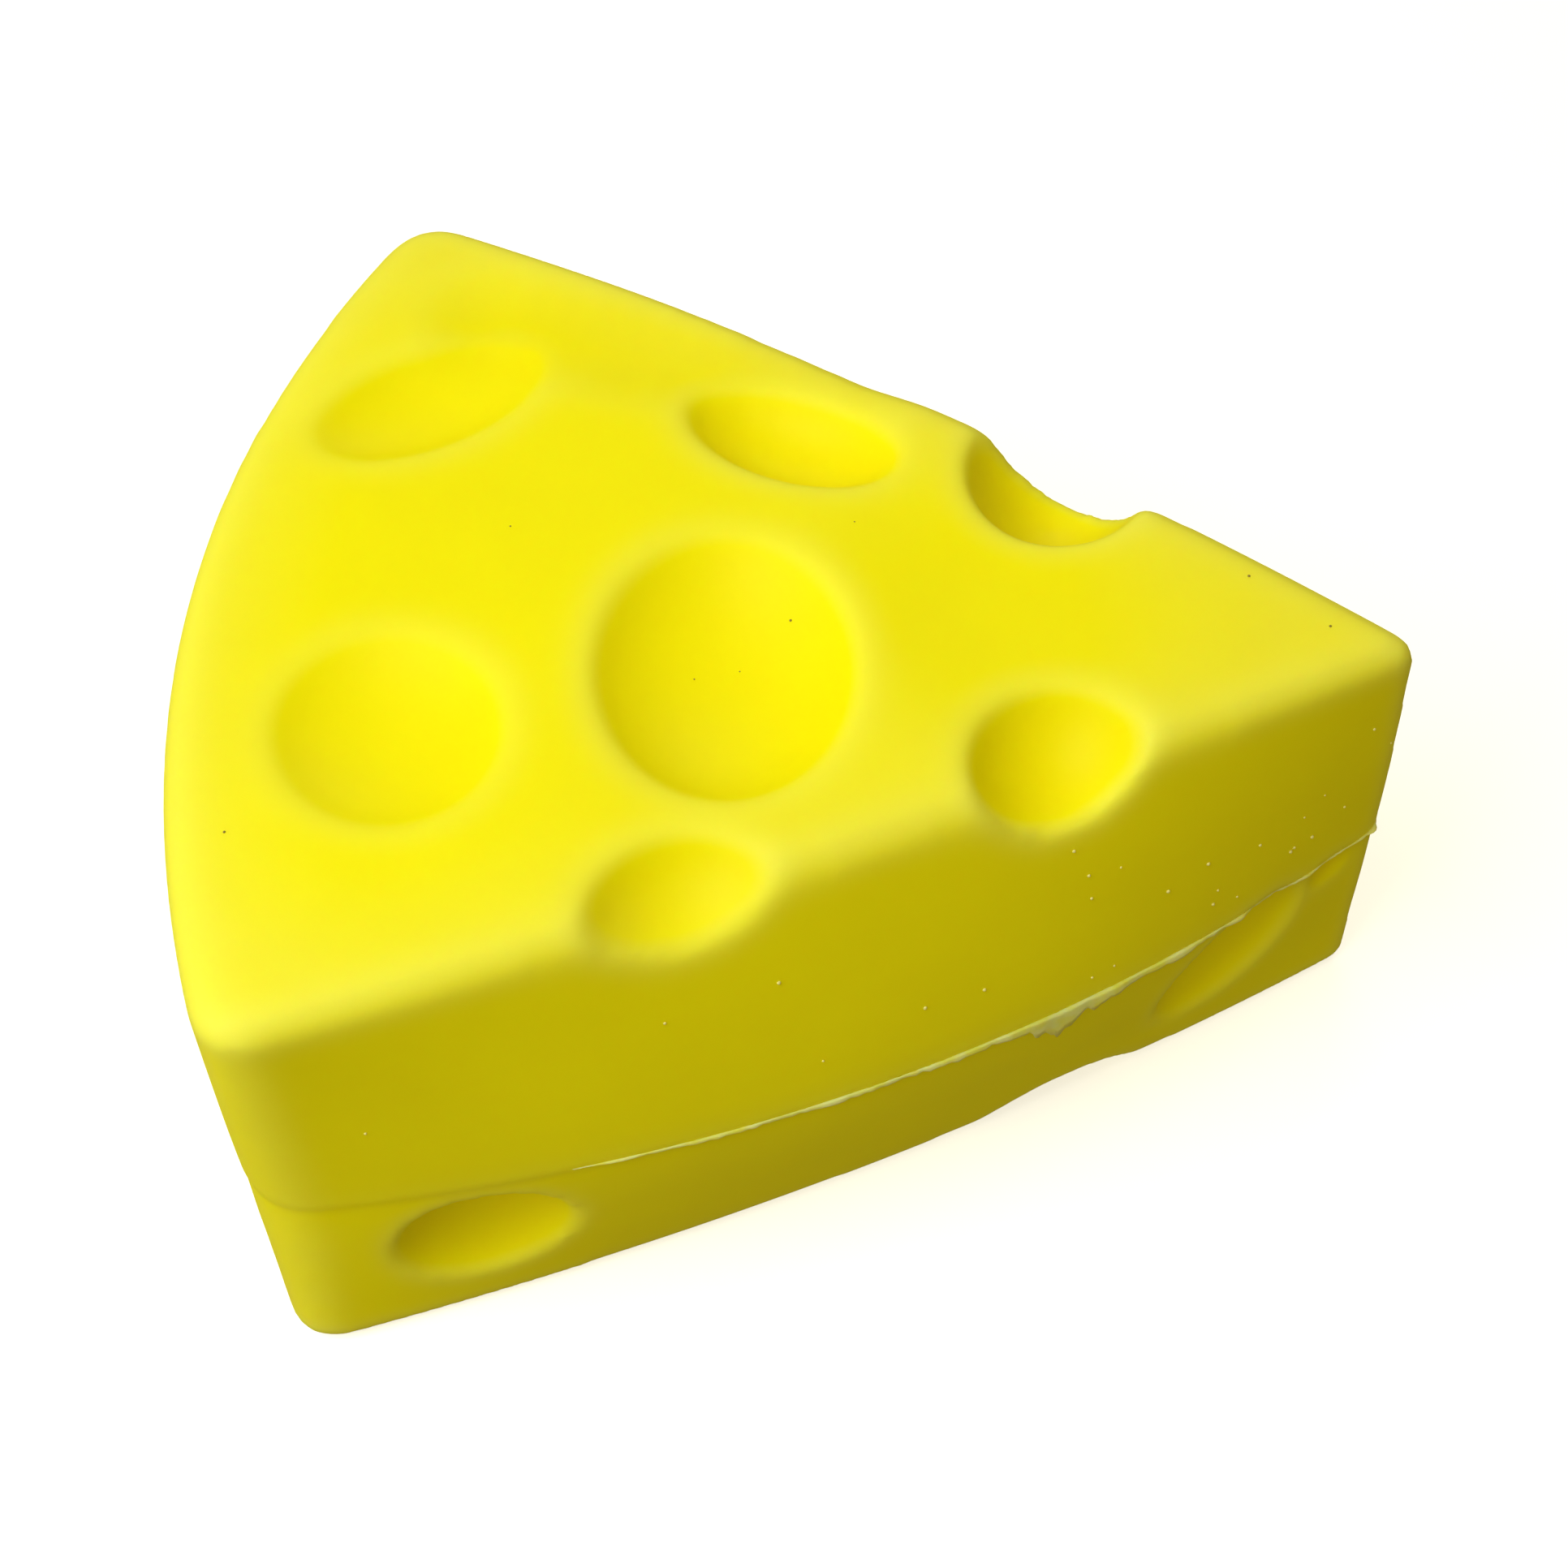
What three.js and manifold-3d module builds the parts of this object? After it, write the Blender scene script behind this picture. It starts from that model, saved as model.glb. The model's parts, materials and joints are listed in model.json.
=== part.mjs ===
// A moulded toy cheese wedge: one solid piece of soft rubber, in millimetres, +Z up.
//
// The tip points along +X and the bowed rind faces -X. Two mould halves meet at a parting
// plane near half height, where the two long sides are fullest. Every rim is rounded, and
// round dimples are pressed into all the faces. The finished wedge's origin is on the table,
// under the middle of its box; until then the plan's x is measured from the line between the
// rind corners.

import * as THREE from 'three';
import { mergeVertices } from 'three/addons/utils/BufferGeometryUtils.js';
import Module from 'manifold-3d';

// ---- Driving dimensions ----------------------------------------------------------------

// The plan at three heights, measured before its corners are rounded: the width is from rind
// corner to rind corner, sideBow and rindBow are how far a long side and the rind bow out at
// their middles, and tipReach is how far the tip stands out past the top plan's tip.
const length = 71.6;          // line between the rind corners to the tip of the top plan
const topPlan = { width: 74, sideBow: 1.9, rindBow: 8.4, tipReach: 0 };
const partingPlan = { width: 71.4, sideBow: 6, rindBow: 9.6, tipReach: 1.2 };
const basePlan = { width: 74.8, sideBow: 2.1, rindBow: 6.2, tipReach: 1.7 };

// Heights.
const height = 37.9;
const partingHeight = 17.4;
const wallCurve = 1.3;        // 1 leans each wall straight in from the parting plane, 2 domes it

// Roundings.
const topRimRadius = 3.4;
const baseRimRadius = 2;
const cornerSetback = 4.2;    // where a rind corner's curve begins, from the sharp corner
const tipSetback = 3.6;       // the same at the tip
const sharpestSetback = 1.2;  // the least that a corner keeps where a rim's rounding pulls it in

// Dimples: half their length and width at the surface, and their depth. On the top and the
// base, fromTip is a share of the length and across a share of the half width at that place,
// towards +Y; turn is the angle of the long axis from +X, seen from outside. On the sides,
// along is a share of the side from its first corner to its second, going anticlockwise round
// the plan, up is a share of the height, and turn is the long axis's angle from the level.
const topDimples = [
  { fromTip: 0.931, across: 0.47, halfLength: 8.6, halfWidth: 4.8, depth: 2.4, turn: 35 },
  { fromTip: 0.583, across: 0.67, halfLength: 7.6, halfWidth: 4.2, depth: 2.8, turn: -19 },
  { fromTip: 0.621, across: -0.25, halfLength: 10.9, halfWidth: 8.4, depth: 4.2, turn: 97 },
  { fromTip: 0.902, across: -0.37, halfLength: 7.8, halfWidth: 7.2, depth: 2.6, turn: 123 },
  { fromTip: 0.624, across: -1.08, halfLength: 6.4, halfWidth: 6.4, depth: 2.8, turn: 0 },
  { fromTip: 0.325, across: -0.96, halfLength: 5.6, halfWidth: 5.4, depth: 4.0, turn: 0 },
  { fromTip: 0.316, across: 1.05, halfLength: 6.0, halfWidth: 6.4, depth: 6.4, turn: 0 },
];
const baseDimples = [
  { fromTip: 0.85, across: 0.10, halfLength: 8.4, halfWidth: 7.8, depth: 3.4, turn: 20 },
  { fromTip: 0.42, across: -0.12, halfLength: 5.0, halfWidth: 4.6, depth: 2.2, turn: 60 },
  { fromTip: 0.89, across: -0.60, halfLength: 5.6, halfWidth: 4.8, depth: 2.4, turn: -40 },
  { fromTip: 0.67, across: 0.62, halfLength: 5.2, halfWidth: 4.4, depth: 2.2, turn: 25 },
  { fromTip: 0.309, across: -1.14, halfLength: 6.4, halfWidth: 5.4, depth: 3.0, turn: -27 },
];
const nearSideDimples = [
  { along: 0.18, up: 0.265, halfLength: 6.0, halfWidth: 5.4, depth: 1.8, turn: 0 },
  { along: 0.87, up: 0.29, halfLength: 6.0, halfWidth: 4.6, depth: 1.8, turn: 45 },
  { along: 0.95, up: 0.42, halfLength: 1.8, halfWidth: 1.6, depth: 0.5, turn: 0 },
];
const farSideDimples = [
  { along: 0.34, up: 0.265, halfLength: 4.8, halfWidth: 4.2, depth: 1.6, turn: 20 },
  { along: 0.74, up: 0.34, halfLength: 6.2, halfWidth: 5.2, depth: 2.0, turn: -15 },
];
const rindDimples = [
  { along: 0.34, up: 0.55, halfLength: 6.4, halfWidth: 5.6, depth: 2.2, turn: 30 },
  { along: 0.52, up: 0.24, halfLength: 3.8, halfWidth: 3.4, depth: 1.3, turn: 0 },
];

// How far above the surface a dimple's ellipsoid is centred, as a share of its own height:
// nearer to 1 gives a wider, flatter bowl for the same depth.
const dimpleLift = 0.5;

// Fineness of the mesh.
const sideSteps = 14;         // along each side, between its corner curves
const cornerSteps = 5;        // round each corner
const rimSteps = 4;           // round each rim
const wallSteps = 4;          // up each half of the wall, from the parting plane to a rim
const dimpleSlices = 20;      // round each dimple
const dimpleStacks = 12;      // over the whole ellipsoid that cuts it

// ---- Plan outline ----------------------------------------------------------------------

// A side of the plan, bowed outwards by `bow` at its middle.
function bowedSide(from, to, bow) {
  const along = to.clone().sub(from).normalize();
  const outward = new THREE.Vector2(along.y, -along.x);
  const middle = from.clone().add(to).multiplyScalar(0.5);
  return new THREE.QuadraticBezierCurve(from, middle.addScaledVector(outward, 2 * bow), to);
}

// The curve round a corner, tangent to the side before it and to the side after it.
function cornerCurve(before, leave, after, join) {
  const start = before.getPoint(leave);
  const end = after.getPoint(join);
  const startWay = before.getTangent(leave);
  const endWay = after.getTangent(join);
  const reach = end.clone().sub(start).cross(endWay) / startWay.cross(endWay);
  return new THREE.QuadraticBezierCurve(start, start.clone().addScaledVector(startWay, reach), end);
}

// A triangle's corners after each of its sides has moved in by `inset`.
function insetCorners(corners, inset) {
  const inwards = corners.map((corner, i) => {
    const along = corners[(i + 1) % 3].clone().sub(corner).normalize();
    return new THREE.Vector2(-along.y, along.x);
  });
  return corners.map((corner, i) => {
    const before = inwards[(i + 2) % 3];
    const after = inwards[i];
    const way = before.clone().add(after).divideScalar(1 + before.dot(after));
    return corner.clone().addScaledVector(way, inset);
  });
}

// How far from a sharp corner its curve begins, once the outline has moved in by `inset`.
function setbackAt(corners, i, inset) {
  const before = corners[(i + 2) % 3].clone().sub(corners[i]);
  const after = corners[(i + 1) % 3].clone().sub(corners[i]);
  const halfAngle = before.angleTo(after) / 2;
  const full = i === 1 ? tipSetback : cornerSetback;
  return Math.max(full - inset / Math.tan(halfAngle), sharpestSetback);
}

// Points round a plan, anticlockwise from the near rind corner: near side, tip, far side,
// far corner, rind, near corner. Every outline has the same number of points on each stretch.
function planOutline({ width, sideBow, rindBow, tipReach }, inset) {
  const near = new THREE.Vector2(0, -width / 2);
  const tip = new THREE.Vector2(length + tipReach, 0);
  const far = new THREE.Vector2(0, width / 2);
  const sharp = [near, tip, far];
  const corners = insetCorners(sharp, inset);
  const setbacks = sharp.map((_, i) => setbackAt(sharp, i, inset));
  const sides = [sideBow, sideBow, rindBow].map((bow, i) => (
    bowedSide(corners[i], corners[(i + 1) % 3], bow)
  ));
  const points = [];
  sides.forEach((side, i) => {
    const next = sides[(i + 1) % 3];
    const setback = setbacks[(i + 1) % 3];
    const begin = setbacks[i] / side.getLength();
    const end = 1 - setback / side.getLength();
    for (let k = 0; k < sideSteps; k += 1) {
      points.push(side.getPoint(THREE.MathUtils.lerp(begin, end, k / sideSteps)));
    }
    const corner = cornerCurve(side, end, next, setback / next.getLength());
    points.push(...corner.getPoints(cornerSteps).slice(0, -1));
  });
  return points;
}

// The outline at a height, moved in by `inset`: the parting plan, leaning to the plan of the
// nearer rim.
function outlineAt(z, inset) {
  const above = z > partingHeight;
  const share = above
    ? (z - partingHeight) / (height - partingHeight)
    : (partingHeight - z) / partingHeight;
  const rim = planOutline(above ? topPlan : basePlan, inset);
  const parting = planOutline(partingPlan, inset);
  return parting.map((point, i) => point.lerp(rim[i], share ** wallCurve));
}

// Outward direction of an outline at one of its points.
function outwardAt(outline, i) {
  const count = outline.length;
  const along = outline[(i + 1) % count].clone().sub(outline[(i + count - 1) % count]).normalize();
  return new THREE.Vector2(along.y, -along.x);
}

// ---- Body ------------------------------------------------------------------------------

// Rings round a rim, from its flat face outwards: how far each is from the face, and how far
// the rounding pulls it in.
function rimRings(radius) {
  return Array.from({ length: rimSteps + 1 }, (_, k) => {
    const angle = (1 - k / rimSteps) * Math.PI / 2;
    return { fromFace: radius * (1 - Math.sin(angle)), inset: radius * (1 - Math.cos(angle)) };
  });
}

// Heights of all the rings, from the base to the top, and how far each is pulled in.
function wallRings() {
  const lower = rimRings(baseRimRadius).map(({ fromFace, inset }) => ({ z: fromFace, inset }));
  const upper = rimRings(topRimRadius).map(({ fromFace, inset }) => ({ z: height - fromFace, inset }));
  const wall = [];
  for (let k = 1; k < wallSteps; k += 1) {
    const below = THREE.MathUtils.lerp(baseRimRadius, partingHeight, k / wallSteps);
    const above = THREE.MathUtils.lerp(partingHeight, height - topRimRadius, k / wallSteps);
    wall.push({ z: below, inset: 0 }, { z: above, inset: 0 });
  }
  wall.push({ z: partingHeight, inset: 0 });
  wall.sort((a, b) => a.z - b.z);
  return [...lower, ...wall, ...upper.reverse()];
}

// A closed solid skinned over the rings, with flat ends.
function bodyGeometry() {
  const rings = wallRings();
  const ringPoints = rings.map(({ z, inset }) => outlineAt(z, inset));
  const count = ringPoints[0].length;
  const positions = [];
  ringPoints.forEach((points, r) => points.forEach((p) => positions.push(p.x, p.y, rings[r].z)));
  const index = [];
  for (let r = 0; r + 1 < rings.length; r += 1) {
    for (let i = 0; i < count; i += 1) {
      const a = r * count + i;
      const b = r * count + ((i + 1) % count);
      index.push(a, b, b + count, a, b + count, a + count);
    }
  }
  const topStart = (rings.length - 1) * count;
  const baseFaces = THREE.ShapeUtils.triangulateShape(ringPoints[0], []);
  const topFaces = THREE.ShapeUtils.triangulateShape(ringPoints[rings.length - 1], []);
  baseFaces.forEach(([a, b, c]) => index.push(a, c, b));
  topFaces.forEach(([a, b, c]) => index.push(topStart + a, topStart + b, topStart + c));
  const geometry = new THREE.BufferGeometry();
  geometry.setAttribute('position', new THREE.Float32BufferAttribute(positions, 3));
  geometry.setIndex(index);
  return geometry;
}

// ---- Dimples ---------------------------------------------------------------------------

// The place on the top or the base that a dimple's shares name.
function faceSpot({ fromTip, across }, plan, z) {
  const reach = length + plan.tipReach;
  return new THREE.Vector3(reach * (1 - fromTip), across * fromTip * plan.width / 2, z);
}

// The place on a side's wall, and the level direction out of it. Side 0 is near, 1 is far
// and 2 is the rind.
function wallSpot({ along, up }, side) {
  const z = up * height;
  const outline = outlineAt(z, 0);
  const station = along * sideSteps;
  const i = side * (sideSteps + cornerSteps) + Math.floor(station);
  const place = outline[i].clone().lerp(outline[i + 1], station % 1);
  const out = outwardAt(outline, i).lerp(outwardAt(outline, i + 1), station % 1).normalize();
  return {
    place: new THREE.Vector3(place.x, place.y, z),
    normal: new THREE.Vector3(out.x, out.y, 0),
  };
}

// The ellipsoid that cuts a dimple: centred a little outside the surface, so that what it
// takes away there is halfLength by halfWidth and goes `depth` in.
function dimpleCutter({ halfLength, halfWidth, depth, turn }, place, normal, lengthwise) {
  const semiHeight = depth / (1 - dimpleLift);
  const spread = 1 / Math.sqrt(1 - dimpleLift * dimpleLift);
  const cutter = new THREE.SphereGeometry(1, dimpleSlices, dimpleStacks);
  cutter.rotateX(Math.PI / 2);
  cutter.scale(halfLength * spread, halfWidth * spread, semiHeight);
  cutter.rotateZ(THREE.MathUtils.degToRad(turn));
  const crosswise = new THREE.Vector3().crossVectors(normal, lengthwise);
  const centre = place.clone().addScaledVector(normal, dimpleLift * semiHeight);
  cutter.applyMatrix4(new THREE.Matrix4().makeBasis(lengthwise, crosswise, normal).setPosition(centre));
  return cutter;
}

// A dimple on a flat face, whose long axis is measured from +X.
function flatDimple(dimple, plan, z, up) {
  const normal = new THREE.Vector3(0, 0, up);
  return dimpleCutter(dimple, faceSpot(dimple, plan, z), normal, new THREE.Vector3(1, 0, 0));
}

// A dimple on a wall, whose long axis is measured from the level direction along the wall.
function wallDimple(dimple, side) {
  const { place, normal } = wallSpot(dimple, side);
  const level = new THREE.Vector3(-normal.y, normal.x, 0);
  return dimpleCutter(dimple, place, normal, level);
}

const cutters = [
  ...topDimples.map((dimple) => flatDimple(dimple, topPlan, height, 1)),
  ...baseDimples.map((dimple) => flatDimple(dimple, basePlan, 0, -1)),
  ...nearSideDimples.map((dimple) => wallDimple(dimple, 0)),
  ...farSideDimples.map((dimple) => wallDimple(dimple, 1)),
  ...rindDimples.map((dimple) => wallDimple(dimple, 2)),
];

// ---- Cutting the dimples ---------------------------------------------------------------

const manifold = await Module();
manifold.setup();

function toSolid(geometry) {
  geometry.deleteAttribute('normal');
  geometry.deleteAttribute('uv');
  const merged = mergeVertices(geometry);
  return new manifold.Manifold(new manifold.Mesh({
    numProp: 3,
    vertProperties: new Float32Array(merged.attributes.position.array),
    triVerts: new Uint32Array(merged.index.array),
  }));
}

function toGeometry(solid) {
  const mesh = solid.getMesh();
  const geometry = new THREE.BufferGeometry();
  geometry.setAttribute('position', new THREE.Float32BufferAttribute(mesh.vertProperties, 3));
  geometry.setIndex(new THREE.Uint32BufferAttribute(mesh.triVerts, 1));
  geometry.computeVertexNormals();
  return geometry;
}

const body = toSolid(bodyGeometry());
const wedgeSolid = cutters.reduce((solid, cutter) => solid.subtract(toSolid(cutter)), body);

// ---- The finished object ---------------------------------------------------------------

const wedgeGeometry = toGeometry(wedgeSolid);
wedgeGeometry.computeBoundingBox();
const boxCentre = wedgeGeometry.boundingBox.getCenter(new THREE.Vector3());
wedgeGeometry.translate(-boxCentre.x, -boxCentre.y, 0);

const yellowRubber = new THREE.MeshStandardMaterial({ color: 0xf0de12, roughness: 0.45, metalness: 0 });
const wedge = new THREE.Mesh(wedgeGeometry, yellowRubber);
wedge.name = 'cheese_wedge';

const toyCheese = new THREE.Group();
toyCheese.add(wedge);

export default toyCheese;
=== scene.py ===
# %% [markdown]
# # A moulded toy cheese wedge
#
# The real thing is one lump of soft yellow rubber, cast in a two-part mould in the shape of a
# wedge of holed cheese. There is nothing inside it and nothing on it that comes off, so the
# whole lesson is about one skin: a three-sided body with bowed sides and rounded rims, round
# dimples with soft lips, the line where the two halves of the mould met, and the thin torn
# flash that was left along it.
#
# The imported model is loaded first. It gives the true size and place of everything, and its
# box is kept to compare with the finished wedge at the end.

# %% Load the frame
import json
import math
import random

import bmesh
import bpy
import numpy as np
from mathutils import Matrix, Vector

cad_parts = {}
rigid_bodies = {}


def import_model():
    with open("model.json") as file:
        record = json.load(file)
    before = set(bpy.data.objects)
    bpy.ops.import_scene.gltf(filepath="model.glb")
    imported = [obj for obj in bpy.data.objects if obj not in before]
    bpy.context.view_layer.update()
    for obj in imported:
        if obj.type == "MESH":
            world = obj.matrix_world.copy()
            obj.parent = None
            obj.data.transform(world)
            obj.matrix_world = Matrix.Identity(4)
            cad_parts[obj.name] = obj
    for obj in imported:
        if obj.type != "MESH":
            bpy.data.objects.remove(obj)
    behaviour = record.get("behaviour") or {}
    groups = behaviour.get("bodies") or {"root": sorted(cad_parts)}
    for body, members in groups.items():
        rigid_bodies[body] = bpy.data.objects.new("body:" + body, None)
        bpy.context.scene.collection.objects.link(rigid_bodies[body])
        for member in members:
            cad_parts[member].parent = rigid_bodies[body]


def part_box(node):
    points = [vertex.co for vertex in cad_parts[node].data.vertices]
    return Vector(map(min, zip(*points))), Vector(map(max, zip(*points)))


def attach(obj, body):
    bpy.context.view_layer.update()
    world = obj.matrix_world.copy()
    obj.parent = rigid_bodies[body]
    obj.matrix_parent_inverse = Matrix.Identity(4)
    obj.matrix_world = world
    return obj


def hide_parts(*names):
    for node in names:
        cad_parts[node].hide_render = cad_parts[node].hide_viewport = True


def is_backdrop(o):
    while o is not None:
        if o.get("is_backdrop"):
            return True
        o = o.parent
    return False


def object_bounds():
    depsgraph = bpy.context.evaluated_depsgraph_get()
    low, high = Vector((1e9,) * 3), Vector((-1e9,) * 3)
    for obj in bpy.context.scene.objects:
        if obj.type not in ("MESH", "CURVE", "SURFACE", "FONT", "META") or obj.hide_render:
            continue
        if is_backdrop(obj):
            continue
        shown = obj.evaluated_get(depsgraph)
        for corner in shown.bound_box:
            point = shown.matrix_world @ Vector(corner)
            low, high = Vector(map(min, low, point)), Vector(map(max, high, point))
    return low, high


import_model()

cad_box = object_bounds()
MM = 0.001
low, high = (Vector(corner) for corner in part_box("cheese_wedge"))
size = high - low
print("wedge box, mm:", [round(side / MM, 1) for side in size])

# %% [markdown]
# ## Camera
#
# The wedge is seen from above its near side, from about twice its own length away. So close
# a view makes the rind end look much larger than the tip, and the lens has to suit that
# distance. The camera is turned in three steps, as on a tripod: round to the side, tilted
# down, and rolled a little.

# %% Camera
VIEW_ROUND, VIEW_DOWN, VIEW_ROLL = (math.radians(a) for a in (4.979, 53.291, -0.945))
VIEW_PLACE = Vector((7.51, -96.47, 147.4)) * MM
LENS = 52.64

camera = bpy.data.objects.new("camera", bpy.data.cameras.new("camera"))
bpy.context.scene.collection.objects.link(camera)
turn = (
    Matrix.Rotation(VIEW_ROUND, 4, "Z")
    @ Matrix.Rotation(math.pi / 2 - VIEW_DOWN, 4, "X")
    @ Matrix.Rotation(VIEW_ROLL, 4, "Z")
)
camera.matrix_world = Matrix.Translation(VIEW_PLACE) @ turn
camera.data.lens = LENS
camera.data.sensor_width = 36
camera.data.clip_start = 0.005
camera.data.clip_end = 20
bpy.context.scene.camera = camera
print("camera, mm:", [round(c / MM) for c in VIEW_PLACE])

# %% [markdown]
# ## The blank's outline
#
# Seen from above, the wedge is a triangle with bowed sides and rounded corners. It isn't the
# same all the way up: the two mould halves meet at a parting plane near half height, where
# the sides bulge most, and they lean in from there to the top and to the base. So the outline
# is written as a function of height, in millimetres, and three plans are enough to give it.
# Each side is a quadratic curve between two corners, and each corner is a small curve that
# joins two sides smoothly. A drawn curve object could hold one plan, but not the change with
# height, so the points are worked out here and put onto a mesh in the next step.

# %% Outline of the blank at any height
HEIGHT = size.z / MM
PARTING = 17.4               # height of the parting plane
# sharp corners: near end of the rind, tip, far end of the rind; then how far each side bows
TOP = {"corners": ((0.8, -35.8), (71.3, -1.5), (0.9, 35.6)), "bows": (0.7, 2.5, 8.4)}
MIDDLE = {"corners": ((0.2, -35.5), (72.8, 0), (0, 35.7)), "bows": (6.1, 6.0, 9.9)}
BASE = {"corners": ((0, -37.4), (73.5, 0), (0, 37.4)), "bows": (2.3, 2.1, 6.2)}
WALL_CURVE = 1.3             # above 1, a wall leans little near the parting plane
SETBACKS = (3.9, 2.6, 4.2)   # where each corner's curve begins, from the sharp corner
LEAST_SETBACK = 1.2
SIDE_POINTS, CORNER_POINTS = 60, 12
SLOPE_STEP = 0.01            # share of a side over which its slope is felt


def quadratic(a, b, c, t):
    return a * (1 - t) ** 2 + b * (2 * t * (1 - t)) + c * t * t


def outline(plan, inset):
    """Points round a plan moved in by inset, anticlockwise from the near rind corner."""
    sharp = [Vector(corner) for corner in plan["corners"]]
    ways = [(sharp[(i + 1) % 3] - sharp[i]).normalized() for i in range(3)]
    inwards = [Vector((-w.y, w.x)) for w in ways]
    corners, setbacks = [], []
    for i in range(3):
        before, after = inwards[i - 1], inwards[i]
        corners.append(sharp[i] + (before + after) * (inset / (1 + before.dot(after))))
        half_angle = (math.pi - ways[i - 1].angle(ways[i])) / 2
        setbacks.append(max(SETBACKS[i] - inset / math.tan(half_angle), LEAST_SETBACK))
    sides = []
    for i, bow in enumerate(plan["bows"]):
        start, end = corners[i], corners[(i + 1) % 3]
        sides.append((start, (start + end) / 2 - inwards[i] * (2 * bow), end))
    points = []
    for i, side in enumerate(sides):
        after = sides[(i + 1) % 3]
        begin = setbacks[i] / (side[2] - side[0]).length
        end = 1 - setbacks[(i + 1) % 3] / (side[2] - side[0]).length
        join = setbacks[(i + 1) % 3] / (after[2] - after[0]).length
        for k in range(SIDE_POINTS):
            points.append(quadratic(*side, begin + (end - begin) * k / SIDE_POINTS))
        leave, meet = quadratic(*side, end), quadratic(*after, join)
        leave_way = leave - quadratic(*side, end - SLOPE_STEP)
        meet_way = quadratic(*after, join + SLOPE_STEP) - meet
        reach = (meet - leave).cross(meet_way) / leave_way.cross(meet_way)
        for k in range(CORNER_POINTS):
            points.append(quadratic(leave, leave + leave_way * reach, meet, k / CORNER_POINTS))
    return points


def outline_at(z, inset):
    """The outline at a height: the parting plan, leaning to the plan of the nearer rim."""
    rim, share = (TOP, (z - PARTING) / (HEIGHT - PARTING))
    if z < PARTING:
        rim, share = BASE, (PARTING - z) / PARTING
    share = share**WALL_CURVE
    pairs = zip(outline(MIDDLE, inset), outline(rim, inset))
    return [a.lerp(b, share) for a, b in pairs]


print("points in an outline:", len(outline(MIDDLE, 0)))

# %% [markdown]
# ## The blank
#
# A circle is added with one point for each point of the outline, and then pulled up ring by
# ring, as clay is drawn up on a wheel. After each pull the new ring is settled onto the
# outline for its height. Near the base and near the top the rings close in along a quarter
# circle, which rounds the rims. Bevelling the rims instead would jam at the tip, where the
# two sides are closer together than the rounding is wide.

# %% Heights of the rings
TOP_RIM, BASE_RIM = 1.7, 1.4
RIM_STEPS, WALL_STEPS = 8, 8


def rim_rings(radius):
    """How far each ring of a rim is from its flat face, and how far it is pulled in."""
    angles = [(1 - k / RIM_STEPS) * math.pi / 2 for k in range(RIM_STEPS + 1)]
    return [(radius * (1 - math.sin(a)), radius * (1 - math.cos(a))) for a in angles]


rings = [(z, inset) for z, inset in rim_rings(BASE_RIM)]
for start, end in ((BASE_RIM, PARTING), (PARTING, HEIGHT - TOP_RIM)):
    rings += [(start + (end - start) * k / WALL_STEPS, 0) for k in range(1, WALL_STEPS)]
    if end == PARTING:
        rings.append((PARTING, 0))
rings += [(HEIGHT - z, inset) for z, inset in reversed(rim_rings(TOP_RIM))]
print("rings:", len(rings))

# %% Draw the blank up from a circle
reaches = [p.x for z, inset in rings for p in outline_at(z, inset)]
SHIFT = (low.x + high.x) / 2 / MM - (min(reaches) + max(reaches)) / 2


def settle(points, z, inset):
    """Puts a ring of mesh points onto the outline for its height."""
    for point, place in zip(points, outline_at(z, inset)):
        point.co = Vector((place.x + SHIFT, place.y, z)) * MM


def fresh_object(name):
    """Names the object that an operator has just added, and returns it."""
    made = bpy.context.object
    made.name = made.data.name = name
    return made


bpy.ops.object.select_all(action="DESELECT")
bpy.ops.mesh.primitive_circle_add(
    vertices=len(outline_at(0, 0)), radius=size.y / 2, fill_type="NGON", location=(0, 0, 0)
)
wedge = fresh_object("cheese_wedge_skin")
bpy.ops.object.mode_set(mode="EDIT")
shape = bmesh.from_edit_mesh(wedge.data)
ring = list(shape.verts)
settle(ring, *rings[0])
for z, inset in rings[1:]:
    before = {tuple(round(c, 7) for c in v.co): i for i, v in enumerate(ring)}
    bpy.ops.mesh.extrude_region_move()
    shape = bmesh.from_edit_mesh(wedge.data)
    ring = [None] * len(before)
    for v in shape.verts:
        if v.select:
            ring[before[tuple(round(c, 7) for c in v.co)]] = v
    settle(ring, z, inset)
bpy.ops.mesh.select_all(action="SELECT")
bpy.ops.mesh.normals_make_consistent(inside=False)
bpy.ops.object.mode_set(mode="OBJECT")
blank_size = [round(side / MM, 1) for side in wedge.dimensions]
print("blank:", len(wedge.data.polygons), "faces, box", blank_size)

# %% [markdown]
# ## The dimples
#
# The toy's holes don't go through: each is a shallow bowl pressed into the skin. A bowl is
# cut with a squashed ball that is sunk part of the way into the face. The middle of the ball
# stays outside the face, so the bowl's wall meets the face at a slope and not upright.
# Some bowls lie across a rim, so that they look like bites.
#
# Every bowl is written as the face it is in, its place on that face, half its length and
# half its width at the surface, its depth, the angle of its long axis, and how far the ball
# leans over that axis. A leaning ball leaves one steep side and one that fades out.

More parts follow.
